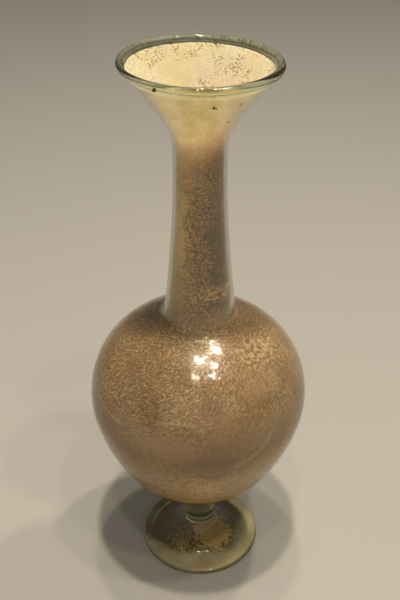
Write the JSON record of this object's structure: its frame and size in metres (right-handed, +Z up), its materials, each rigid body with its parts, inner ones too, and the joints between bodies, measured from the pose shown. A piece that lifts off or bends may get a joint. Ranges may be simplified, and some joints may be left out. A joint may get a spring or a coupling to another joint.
{
  "type": "glass unguentarium",
  "caption": "Ancient blown glass perfume flask: globular body, tall tapering neck, wide funnel mouth with a rolled lip, and a short stem on a round hollow foot.",
  "frame": {"origin": "on the resting plane, under the middle of the foot", "axes": "+Z up along the neck towards the mouth; -Y is the side seen in the picture; +X to the right of that view"},
  "size_m": [0.0902, 0.0902, 0.2303],
  "materials": {
    "glass": "old pale green glass, clear at the lip and foot",
    "crust": "matt cream and tan weathering crust"
  },
  "bodies": {
    "root": {"unguentarium": "glass"}
  },
  "joints": []
}
